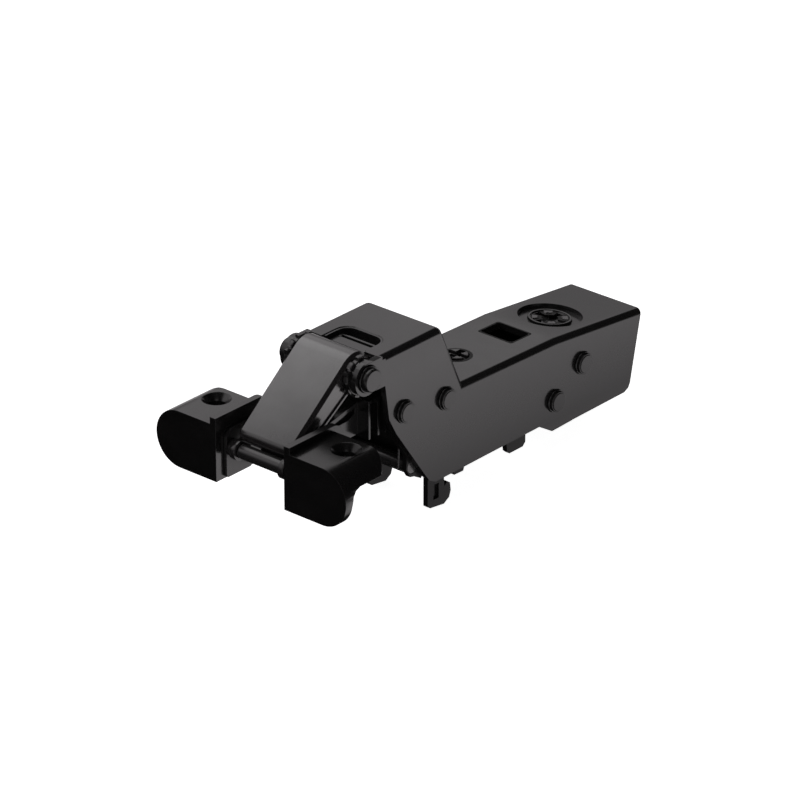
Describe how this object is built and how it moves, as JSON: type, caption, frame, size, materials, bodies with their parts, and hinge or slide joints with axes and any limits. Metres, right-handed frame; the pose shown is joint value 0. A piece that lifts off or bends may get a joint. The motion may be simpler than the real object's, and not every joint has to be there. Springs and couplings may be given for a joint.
{
  "type": "concealed hinge",
  "caption": "Concealed cabinet hinge for narrow framed doors, shown open: folded arm with clip hooks, wide crank link and a two-winged screw-on door bracket.",
  "frame": {"origin": "middle of the seat under the arm that rests on the mounting plate", "axes": "+X along the arm from the door bracket to the rear end, +Y across the hinge, +Z away from the mounting plate"},
  "size_m": [0.0932, 0.0424, 0.0358],
  "materials": {
    "sheet": "satin black coating on folded steel sheet",
    "cast": "satin black coating on a zinc casting",
    "link": "satin dark grey plating",
    "rivet": "satin black rivet head",
    "pin": "dark plated steel",
    "liner": "matte black plastic",
    "spring": "dark spring wire"
  },
  "bodies": {
    "arm": {"arm_shell": "sheet", "clip_frame": "sheet", "main_pin": "rivet", "lever_pin": "rivet", "clip_rivets": "rivet", "latch_pin": "rivet", "stop_pin": "pin", "pivot_washers": "sheet", "closing_spring": "spring", "spring_pad": "liner", "disc_washer": "sheet", "latch_spring": "spring"},
    "link": {"outer_link": "link"},
    "lever": {"inner_lever": "cast", "rear_pin": "pin"},
    "bracket": {"door_bracket": "cast", "cheek_liner_near": "liner", "cheek_liner_far": "liner", "front_pin": "pin", "front_bushes": "liner"},
    "depth_adjuster": {"depth_disc": "cast"},
    "side_adjuster": {"side_screw": "pin"},
    "latch": {"release_latch": "cast"}
  },
  "joints": [
    {"name": "link_swing", "type": "hinge", "parent": "arm", "child": "link", "pos_m": [-0.03, 0, 0.0154], "axis": [0, 1, 0], "range_deg": [-40, 0]},
    {"name": "lever_swing", "type": "hinge", "parent": "arm", "child": "lever", "pos_m": [-0.02075, 0, 0.006], "axis": [0, 1, 0], "range_deg": [-34, 0]},
    {"name": "bracket_swing", "type": "hinge", "parent": "link", "child": "bracket", "pos_m": [-0.0468, 0, 0.0041], "axis": [0, 1, 0], "range_deg": [0, 135]},
    {"name": "depth_adjuster_turn", "type": "hinge", "parent": "arm", "child": "depth_adjuster", "pos_m": [0.02795, 0, 0.00401], "axis": [0.1049, 0, 0.9945], "range_deg": [-180, 180]},
    {"name": "side_adjuster_turn", "type": "hinge", "parent": "arm", "child": "side_adjuster", "pos_m": [0.0026, 0, 0.0054], "axis": [0, 0, 1], "continuous": true},
    {"name": "latch_press", "type": "hinge", "parent": "arm", "child": "latch", "pos_m": [0.0267, 0, -0.00215], "axis": [0, 1, 0], "range_deg": [-8, 0], "stiffness_Nm_per_rad": 0.03, "springref_deg": 8.59}
  ],
  "couplings": [
    {"joint": "lever_swing", "follows": "link_swing", "ratio": 0.85},
    {"joint": "bracket_swing", "follows": "link_swing", "ratio": -3.375}
  ]
}
